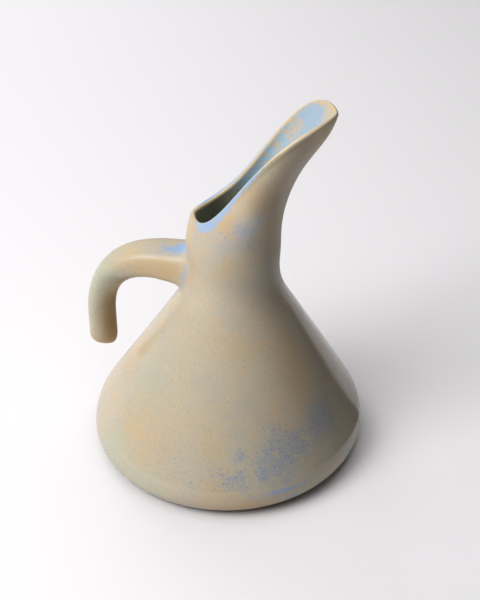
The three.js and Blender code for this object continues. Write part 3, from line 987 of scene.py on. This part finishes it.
glaze_group, _, glaze_out = new_group(
    "speckled_glaze", [], [("Colour", "Color"), ("Roughness", "Float"), ("Height", "Float")])
r = Recipe(glaze_group)
place = r.object_place()
colour = KHAKI
for scale, detail, rough, start, end, strength, tint in DRIFTS:
    drift = r.noise(place, scale, detail, rough)
    colour = r.blend(r.span(drift, start, end, 0.0, strength), colour, tint)
for patches, tint in ((SAGE_PATCHES, SAGE), (SLATE_PATCHES, SLATE), (OCHRE_PATCHES, OCHRE)):
    colour = r.blend(any_of(r, patches), colour, tint)
for scale, start, end, tint in GRAINS:
    grain = r.noise(place, scale, 1.0, 0.5)
    colour = r.blend(r.span(grain, start, end, 0.0, GRAIN_STRENGTH), colour, tint)
# Painted shade: the brown patches go on over the grain
colour = r.blend(any_of(r, PAINTED_SHADE_PATCHES), colour, SHADE_BROWN)
print("ground of the glaze with", len(glaze_group.nodes), "nodes")

# %% Specks and pools of the glaze
TEAL_SCALE = 1000.0
TEAL_RADIUS = 0.45
TEAL_EVERYWHERE = 0.12
TEAL_STRENGTH = 0.5
FIELD_HAZE = 0.3
# Blue specks: scale, radius, share of the cells in a full field, share everywhere
BLUE_SPECKS = ((1700.0, 0.65, 0.75, 0.01), (950.0, 0.5, 0.35, 0.002))
BLUE_STRENGTH = 0.85
STREAKS = (420.0, 4.0, 0.7)
PINHOLE_SCALE = 95.0
PINHOLE_RADIUS = 0.06
PINHOLE_SHARE = 0.03
PINHOLE_STRENGTH = 0.6

teal_density = r.math("ADD", any_of(r, TEAL_FIELDS), TEAL_EVERYWHERE)
teal_dots = specks(r, place, TEAL_SCALE, TEAL_RADIUS, teal_density)
colour = r.blend(r.times(teal_dots, TEAL_STRENGTH), colour, TEAL_SPECK)
field = any_of(r, SPECK_FIELDS)
colour = r.blend(r.times(field, FIELD_HAZE), colour, SLATE)
blue_dots = 0.0
for scale, radius, in_field, everywhere in BLUE_SPECKS:
    density = r.math("MULTIPLY_ADD", field, in_field, everywhere)
    blue_dots = r.math("MAXIMUM", specks(r, place, scale, radius, density), blue_dots)
colour = r.blend(r.times(blue_dots, BLUE_STRENGTH), colour, SPECK_BLUE)
streaks = r.span(r.noise(place, *STREAKS), 0.34, 0.56, 0.4, 1.0)
colour = r.blend(r.times(any_of(r, BLUE_POOLS), streaks), colour, BLUE)
pinholes = specks(r, place, PINHOLE_SCALE, PINHOLE_RADIUS, PINHOLE_SHARE)
colour = r.blend(r.times(pinholes, PINHOLE_STRENGTH), colour, RUST)
r.put(glaze_out.inputs["Colour"], colour)
print("glaze colour with", len(glaze_group.nodes), "nodes")

# %% Surface of the glaze
SHEEN = (60.0, 3.0, 0.6)
SMOOTHEST = 0.13
ROUGHEST = 0.18
HANDLE_DULLNESS = 0.13
NECK_DULLNESS = 0.3
PEEL = (420.0, 2.0, 0.5)
PEEL_HEIGHT = 0.008
SWELL = (45.0, 2.0, 0.5)
SWELL_HEIGHT = 0.2

roughness = r.span(r.noise(place, *SHEEN), 0.3, 0.7, SMOOTHEST, ROUGHEST)
axes = r.axes(place)
on_handle = r.span_mm(axes["X"], -14, -30, 0.0, HANDLE_DULLNESS)
on_neck = r.span_mm(axes["Z"], 85, 125, 0.0, NECK_DULLNESS)
r.put(glaze_out.inputs["Roughness"], r.math("ADD", r.math("MAXIMUM", on_handle, on_neck), roughness))
peel = r.times(r.noise(place, *PEEL), PEEL_HEIGHT)
swell = r.times(r.noise(place, *SWELL), SWELL_HEIGHT)
r.put(glaze_out.inputs["Height"], r.math("ADD", peel, swell))
print("glaze group with", len(glaze_group.nodes), "nodes")

# %% [markdown]
# Glazed materials
#
# The cone, the collar and the handle wear the glaze as it is. A bump turns its height into a wavering of
# the reflections, as on hand-built ware. The gloss is the same all over a material, so it is set on the
# shader itself, and the spout gets less of it.

# %% Ochre glaze
GLAZE_IOR = 1.5
BODY_GLOSS = 0.5
SPOUT_GLOSS = 0.25
BUMP_STRENGTH = 0.3


def plain_material(name, gloss):
    """A new material with a gloss, and its shader."""
    material = bpy.data.materials.new(name)
    material.use_nodes = True
    shader = material.node_tree.nodes["Principled BSDF"]
    shader.inputs["Specular IOR Level"].default_value = gloss
    return material, shader


def glazed_material(name, gloss):
    """A material with the glaze group, and the nodes that a variant changes."""
    material, shader = plain_material(name, gloss)
    recipe = Recipe(material.node_tree)
    glaze = recipe.add("ShaderNodeGroup", {"node_tree": glaze_group})
    bump = recipe.add("ShaderNodeBump", Strength=BUMP_STRENGTH, Distance=MM, Height=glaze.outputs["Height"])
    recipe.put(shader.inputs["Base Color"], glaze.outputs["Colour"])
    recipe.put(shader.inputs["Roughness"], glaze.outputs["Roughness"])
    recipe.put(shader.inputs["Normal"], bump.outputs["Normal"])
    shader.inputs["IOR"].default_value = GLAZE_IOR
    return material, recipe, shader, glaze


ochre_glaze, _, _, _ = glazed_material("ochre_glaze", BODY_GLOSS)
print("made", ochre_glaze.name)

# %% [markdown]
# The spout's glaze
#
# Inside the beak the glaze lies thick and turns light blue, olive towards the throat, with crumbs and runs
# of gold. Over the rim it is thin and breaks to warm cream, and just outside the rim it gathers again in a
# blue band. The spout's two attributes and the place in the frame say where each of these lies. A ragged
# noise shifts most of the borders, so that they are no clean lines.

# %% Colours of the spout
SKY = seen(164, 184, 199)
TEAL = seen(174, 198, 213)
THROAT = seen(168, 158, 124)
DEEP = seen(138, 140, 108)
GOLD = seen(210, 181, 132)
CREAM = seen(226, 206, 172)
BEIGE = seen(192, 184, 166)
RIM_BLUE = seen(150, 183, 220)
OLIVE = seen(158, 148, 120)
print("sky blue in linear light:", [round(v, 3) for v in SKY[:3]])

# %% Inside of the spout
# Layers down the lining: the heights in millimetres where each starts and is full, and its colour
LINING_LAYERS = ((205, 180, TEAL), (172, 152, THROAT), (160, 142, DEEP))
LINING_RUNS = (
    ((33.5, 18.5, 205), (4.5, 8, 8), 0.5, 3.2, 1.0),
    ((25, 18.5, 193), (4.5, 7, 6), 0.6, 3.2, 0.9),
    ((20, 17.5, 184), (5, 7, 7), 0.6, 3.2, 0.5),
)
MOTTLE = (1300.0, 2.0, 0.5)
MOTTLE_STRENGTH = 0.32
CRUMB_SCALE = 1000.0
CRUMB_RADIUS = 0.9
CRUMBS_IN_RUNS = 0.85
CRUMB_STRENGTH = 0.85
BROAD_RAG = (170.0, 4.0, 0.65)
FINE_RAG = (900.0, 3.0, 0.6)
FINE_RAG_SHARE = 0.8

blue_glaze, r, shader, glaze = glazed_material("blue_glaze", SPOUT_GLOSS)
place = r.object_place()
axes = r.axes(place)
along = axes["X"]
inside_part = r.add("ShaderNodeAttribute", {"attribute_name": "inside"}).outputs["Fac"]
rim_gap = r.add("ShaderNodeAttribute", {"attribute_name": "from_rim"}).outputs["Fac"]
ragged = r.shifted(r.ripple(place, *BROAD_RAG), r.ripple(place, *FINE_RAG), FINE_RAG_SHARE)
height = r.shifted(axes["Z"], ragged, 22 * MM)
edge_gap = r.shifted(rim_gap, ragged, 8 * MM)

lining = SKY
for start, full, tint in LINING_LAYERS:
    lining = r.blend(r.span_mm(height, start, full), lining, tint)
mottle = r.span(r.noise(place, *MOTTLE), 0.4, 0.66, 0.0, MOTTLE_STRENGTH)
lining = r.blend(mottle, lining, SPECK_BLUE)
stray_crumbs = r.span_mm(height, 215, 180, 0.02, 0.08)
crumb_density = r.math("MULTIPLY_ADD", any_of(r, LINING_RUNS), CRUMBS_IN_RUNS, stray_crumbs)
crumb_density = r.times(crumb_density, r.span_mm(height, 166, 182))
crumbs = specks(r, place, CRUMB_SCALE, CRUMB_RADIUS, crumb_density)
lining = r.blend(r.times(crumbs, CRUMB_STRENGTH), lining, GOLD)
lining = r.blend(r.span_mm(r.shifted(along, ragged, 10 * MM), 49, 53), lining, BEIGE)
lining = r.blend(r.span_mm(edge_gap, 2.4, 1.6, 0.0, 0.85), lining, GOLD)
colour = r.blend(r.span(inside_part, 0.5, 0.75), glaze.outputs["Colour"], lining)
print("lining of the spout with", len(blue_glaze.node_tree.nodes), "nodes")

# %% Outside and rim of the spout
BAND_WIDTH = 6 * MM
BAND_ALONG_BEAK = 0.4  # the share of the band's width that is left along the beak
WATERY = (500.0, 4.0, 0.65)

outside = r.span(inside_part, 0.5, 0.25)

# An olive fringe under the rim, and a thin pale glaze at the tip
fringe = r.times(r.span_mm(rim_gap, 7.5, 2, 0.0, 0.75), r.span_mm(along, 8, 20), r.span_mm(along, 52, 40))
colour = r.blend(r.times(fringe, outside), colour, OLIVE)
thin_tip = r.times(r.span_mm(along, 46, 56, 0.0, 0.7), outside)
colour = r.blend(thin_tip, colour, CREAM)

# A blue band that hangs from the rim, broad beside the mouth and narrow along the beak
band_start = r.span_mm(r.shifted(along, ragged, 6 * MM), -16.5, -6, 0.0, BAND_WIDTH)
band_width = r.times(band_start, r.span_mm(along, 2, 14, 1.0, BAND_ALONG_BEAK), r.span_mm(along, 32, 22))
past_band = r.math("SUBTRACT", r.shifted(rim_gap, ragged, 4.5 * MM), band_width)
band = r.times(r.span_mm(past_band, 1, -0.6), r.span_mm(band_width, 0.2, 1.2))
watery = r.span(r.noise(place, *WATERY), 0.34, 0.6, 0.45, 1.0)
colour = r.blend(r.times(band, outside, watery), colour, RIM_BLUE)

# The rim itself breaks to cream, and its far side shows a blue edge
rim_break = r.span_mm(r.shifted(rim_gap, ragged, 0.8 * MM), 1.3, 0.5, 0.0, 0.75)
colour = r.blend(rim_break, colour, CREAM)
far_side = r.times(r.span_mm(axes["Y"], 4, 10), r.span(inside_part, 0.64, 0.44))
far_edge = r.times(far_side, r.span_mm(edge_gap, 4.5, 3, 0.0, 0.85))
colour = r.blend(far_edge, colour, RIM_BLUE)
r.put(shader.inputs["Base Color"], colour)
print("made", blue_glaze.name, "with", len(blue_glaze.node_tree.nodes), "nodes")

# %% [markdown]
# Foot
#
# The glaze is wiped off the underside before firing, so that the pitcher doesn't stick to the kiln
# shelf. The base is glazed down its rounded edge and shows bare, matte clay below it, with a darker
# toasted line where the two meet.

# %% Bare clay
CLAY = seen(206, 186, 152)
TOAST = seen(166, 124, 84)
GROG = (700.0, 3.0, 0.7)
WOBBLE = (90.0, 3.0, 0.6)
WOBBLE_REACH = 1.2 * MM
TOAST_STRENGTH = 0.35
CLAY_ROUGHNESS = 0.85
EDGE_ROUGHNESS = 0.4

bare_clay, r, shader, glaze = glazed_material("bare_clay", BODY_GLOSS)
place = r.object_place()
wiped = r.shifted(r.axes(place)["Z"], r.ripple(place, *WOBBLE), WOBBLE_REACH)
clay = r.blend(r.span(r.noise(place, *GROG), 0.42, 0.7), CLAY, TOAST)
glazed_part = r.span_mm(wiped, 1, 1.6)
toasted = r.span_mm(wiped, 3, 1.6, 0.0, TOAST_STRENGTH)
colour = r.blend(toasted, glaze.outputs["Colour"], TOAST)
r.put(shader.inputs["Base Color"], r.blend(glazed_part, clay, colour))
dryness = r.math("MULTIPLY_ADD", glazed_part, EDGE_ROUGHNESS - CLAY_ROUGHNESS, CLAY_ROUGHNESS)
r.put(shader.inputs["Roughness"], dryness)
print("made", bare_clay.name)

# %% [markdown]
# Putting the pieces on the frame
#
# Each modelled piece replaces its plain solid, rides on the one body of the pitcher and gets its
# material, whose name is the finish that the record gives it.

# %% Pieces and their finishes
PIECES = (
    (base_slab, "base_slab", "bare_clay", bare_clay),
    (body_cone, "body_cone", "ochre_glaze", ochre_glaze),
    (neck_collar, "neck_collar", "ochre_glaze", ochre_glaze),
    (beak_spout, "beak_spout", "blue_glaze", blue_glaze),
    (hook_handle, "hook_handle", "ochre_glaze", ochre_glaze),
)
for piece, node_name, slot, material in PIECES:
    piece.data.materials.clear()
    piece.data.materials.append(material)
    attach(piece, "root")
    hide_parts(node_name)
    print(piece.name, "replaces", node_name)

# %% [markdown]
# Floor
#
# The pitcher stands on a plain sheet of pale paper that rises behind it. White paper would fill the
# pitcher's shadows from below, so the paper looks pale to the camera and in reflections, and is darker
# for the light that it throws back. The lamps reach only the near floor. Further off a faint glow, which
# the camera alone sees, keeps low views from ending in a black room.

# %% Floor
FLOOR_SIZE = 6.0
SWEEP_BACK = 1.3
SWEEP_HEIGHT = 1.0

bpy.ops.object.select_all(action="DESELECT")
bpy.ops.mesh.primitive_plane_add(size=FLOOR_SIZE, location=(0, SWEEP_BACK - FLOOR_SIZE / 2, 0))
bpy.ops.object.transform_apply(location=True, rotation=True, scale=True)
floor = bpy.context.object
floor.name = "paper_floor"
bpy.ops.object.mode_set(mode="EDIT")
bpy.ops.mesh.select_all(action="DESELECT")
bpy.ops.object.mode_set(mode="OBJECT")
for vertex in floor.data.vertices:
    vertex.select = vertex.co.y > 0
bpy.ops.object.mode_set(mode="EDIT")
bpy.ops.mesh.extrude_region_move(TRANSFORM_OT_translate={"value": (0, 0, SWEEP_HEIGHT)})
bpy.ops.object.mode_set(mode="OBJECT")
print("floor of", FLOOR_SIZE, "m, with a back", SWEEP_HEIGHT, "m high")

# %% Paper
PAPER = (0.54, 0.529, 0.54, 1.0)
PAPER_BOUNCE = (0.37, 0.361, 0.37, 1.0)
PAPER_ROUGHNESS = 0.9
PAPER_GLOSS = 0.1
BACKDROP = (0.36, 0.354, 0.36, 1.0)
BACKDROP_START = 0.75
BACKDROP_END = 1.7

paper, paper_shader = plain_material("paper", PAPER_GLOSS)
paper_shader.inputs["Roughness"].default_value = PAPER_ROUGHNESS
r = Recipe(paper.node_tree)
ray = r.add("ShaderNodeLightPath")
is_looked_at = r.math("MAXIMUM", ray.outputs["Is Camera Ray"], ray.outputs["Is Glossy Ray"])
r.put(paper_shader.inputs["Base Color"], r.blend(is_looked_at, PAPER_BOUNCE, PAPER))
far_off = r.span(r.vector("LENGTH", r.object_place()), BACKDROP_START, BACKDROP_END)
paper_shader.inputs["Emission Color"].default_value = BACKDROP
r.put(paper_shader.inputs["Emission Strength"], r.times(far_off, ray.outputs["Is Camera Ray"]))
floor.data.materials.append(paper)
print("made", paper.name)

# %% [markdown]
# Dark sheet, a painted shadow in reflections
#
# A satin glaze mirrors what lies beside it, most of all at a flat angle. The pitcher's own shadow lies on
# the floor to its right, and a dark sheet is laid there as a painted shadow, darker than that shade. Only
# reflections can see it, and it keeps the cone's right flank dark. The pale floor beyond its edge is left
# as a light band along the flank, with a crisp border. A stripe painted on the glaze would be right in one
# view only, because a reflection moves with the viewer.

# %% Dark sheet, a painted shadow in reflections
# The sheet lies flat where the pitcher's own shadow falls on the floor: a painted shadow for reflections
SHEET_CORNER = Vector((0.090, 0.033, 0.0003))
SHEET_TURN = math.radians(33.4)
SHEET_WIDTH = 0.5
SHEET_LENGTH = 0.8
SHADOW_SHEET_COLOUR = (0.05, 0.05, 0.05, 1.0)

sheet_ahead = Vector((math.sin(SHEET_TURN), math.cos(SHEET_TURN), 0))
sheet_aside = Vector((math.cos(SHEET_TURN), -math.sin(SHEET_TURN), 0))
sheet_middle = SHEET_CORNER + sheet_ahead * SHEET_LENGTH / 2 + sheet_aside * SHEET_WIDTH / 2
bpy.ops.object.select_all(action="DESELECT")
bpy.ops.mesh.primitive_plane_add(size=1, location=sheet_middle, rotation=(0, 0, -SHEET_TURN))
sheet = bpy.context.object
sheet.name = "painted_shadow_sheet"
sheet.scale = (SHEET_WIDTH, SHEET_LENGTH, 1)
bpy.ops.object.transform_apply(location=True, rotation=True, scale=True)
painted_shadow_paper, shadow_sheet_shader = plain_material("painted_shadow_paper", 0.0)
shadow_sheet_shader.inputs["Base Color"].default_value = SHADOW_SHEET_COLOUR
shadow_sheet_shader.inputs["Roughness"].default_value = 1.0
sheet.data.materials.append(painted_shadow_paper)
sheet.visible_camera = False
sheet.visible_diffuse = False
sheet.visible_shadow = False
print("dark sheet of", SHEET_WIDTH, "by", SHEET_LENGTH, "m, seen only in reflections")

# %% [markdown]
# Lamps
#
# A soft box at the front left models the cone from light to dark. A weaker one at the back left lights the
# side of the handle and gives no reflection. Two wide lamps above are linked to the floor only: they keep
# the paper pale and draw the dark line of contact under the foot, without flattening the pitcher. The
# room itself adds a faint even light.

# %% Lights
BOX_DISTANCE = 1.1
BOX_SIZE = 0.6
FRONT_LIGHT = {"azimuth": -45, "elevation": 44, "power": 13.0}
SIDE_LIGHT = {"azimuth": -140, "elevation": 26, "power": 4.7}
# Lamps for the floor: name, place, size and power
FLOOR_LIGHTS = (
    ("floor_light", Vector((-0.36, -0.42, 1.15)), 1.4, 14.6),
    ("back_light", Vector((0.20, 0.95, 1.2)), 1.2, 7.2),
)
STRAIGHT_DOWN = Vector((0, 0, -1))
PITCHER_MIDDLE = Vector((0, 0, 0.09))


def area_light(name, place, aim, size, power):
    """A square lamp at a place, facing a point."""
    bpy.ops.object.light_add(type="AREA", location=place)
    light = bpy.context.object
    light.name = name
    light.rotation_euler = (aim - place).to_track_quat("-Z", "Y").to_euler()
    light.data.shape = "RECTANGLE"
    light.data.size = size
    light.data.size_y = size
    light.data.energy = power
    return light


def soft_box(name, settings):
    """A soft box that faces the pitcher."""
    way = toward(math.radians(settings["azimuth"]), math.radians(settings["elevation"]))
    place = PITCHER_MIDDLE + way * BOX_DISTANCE
    return area_light(name, place, PITCHER_MIDDLE, BOX_SIZE, settings["power"])


soft_box("front_light", FRONT_LIGHT)
fill = soft_box("side_light", SIDE_LIGHT)
fill.visible_glossy = False
floor_only = bpy.data.collections.new("lit_from_above")
floor_only.objects.link(floor)
for name, place, size, power in FLOOR_LIGHTS:
    lamp = area_light(name, place, place + STRAIGHT_DOWN, size, power)
    lamp.light_linking.receiver_collection = floor_only

# %% Room
ROOM_LIGHT = (0.07, 0.07, 0.07, 1.0)

world = bpy.context.scene.world or bpy.data.worlds.new("room")
bpy.context.scene.world = world
world.use_nodes = True
room = world.node_tree.nodes["Background"]
r = Recipe(world.node_tree)
ray = r.add("ShaderNodeLightPath")
r.put(room.inputs["Color"], r.blend(ray.outputs["Is Camera Ray"], ROOM_LIGHT, BACKDROP))
room.inputs["Strength"].default_value = 1.0
bpy.context.scene.view_settings.view_transform = "Standard"
print("room light of", ROOM_LIGHT[0])

# %% [markdown]
# Measuring and finishing
#
# The looks must not change the size. Each piece prints its size in millimetres as it is made.
